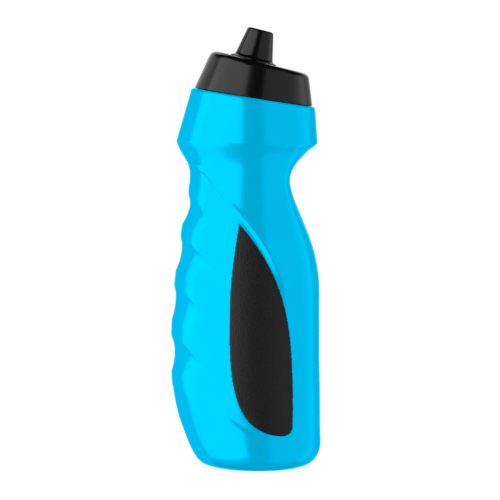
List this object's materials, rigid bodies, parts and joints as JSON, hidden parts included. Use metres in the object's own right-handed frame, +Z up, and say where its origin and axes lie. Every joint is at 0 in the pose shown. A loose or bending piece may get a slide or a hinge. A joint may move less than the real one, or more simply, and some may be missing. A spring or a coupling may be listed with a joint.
{
  "type": "sports squeeze bottle",
  "caption": "Squeeze bottle with a finger grip down one side, rubber pads front and back, a tilted screw lid and a push-pull nozzle.",
  "frame": {"origin": "on the surface the bottle stands on, under the middle of the whole object's box", "axes": "+Z up; +X towards the thumb side, so the finger grip is at -X and the lid leans to +X; Y runs across from pad to pad"},
  "size_m": [0.0823, 0.0768, 0.2403],
  "materials": {
    "bottle_plastic": "satin blow-moulded polyethylene in cyan blue",
    "pad_rubber": "soft black rubber with a fine pebbled grain",
    "lid_plastic": "polished black polypropylene",
    "seal_silicone": "soft translucent silicone"
  },
  "bodies": {
    "bottle": {"bottle_body": "bottle_plastic", "front_grip_pad": "pad_rubber", "back_grip_pad": "pad_rubber"},
    "gasket": {"lid_gasket": "seal_silicone"},
    "lid": {"lid_shell": "lid_plastic", "valve_tower": "lid_plastic", "nozzle_seal": "seal_silicone"},
    "nozzle": {"nozzle": "lid_plastic"}
  },
  "joints": [
    {"name": "lid_rise", "type": "slide", "parent": "bottle", "child": "gasket", "axis": [0.1564, 0, 0.9877], "range_m": [0, 0.025]},
    {"name": "lid_turn", "type": "hinge", "parent": "gasket", "child": "lid", "pos_m": [0.0043, 0, 0.20185], "axis": [0.1564, 0, 0.9877], "range_deg": [0, 1800]},
    {"name": "nozzle_pull", "type": "slide", "parent": "lid", "child": "nozzle", "axis": [0.2419, 0, 0.9703], "range_m": [0, 0.0045]}
  ],
  "couplings": [
    {"joint": "lid_rise", "follows": "lid_turn", "m_per_rad": 0.00079577}
  ]
}
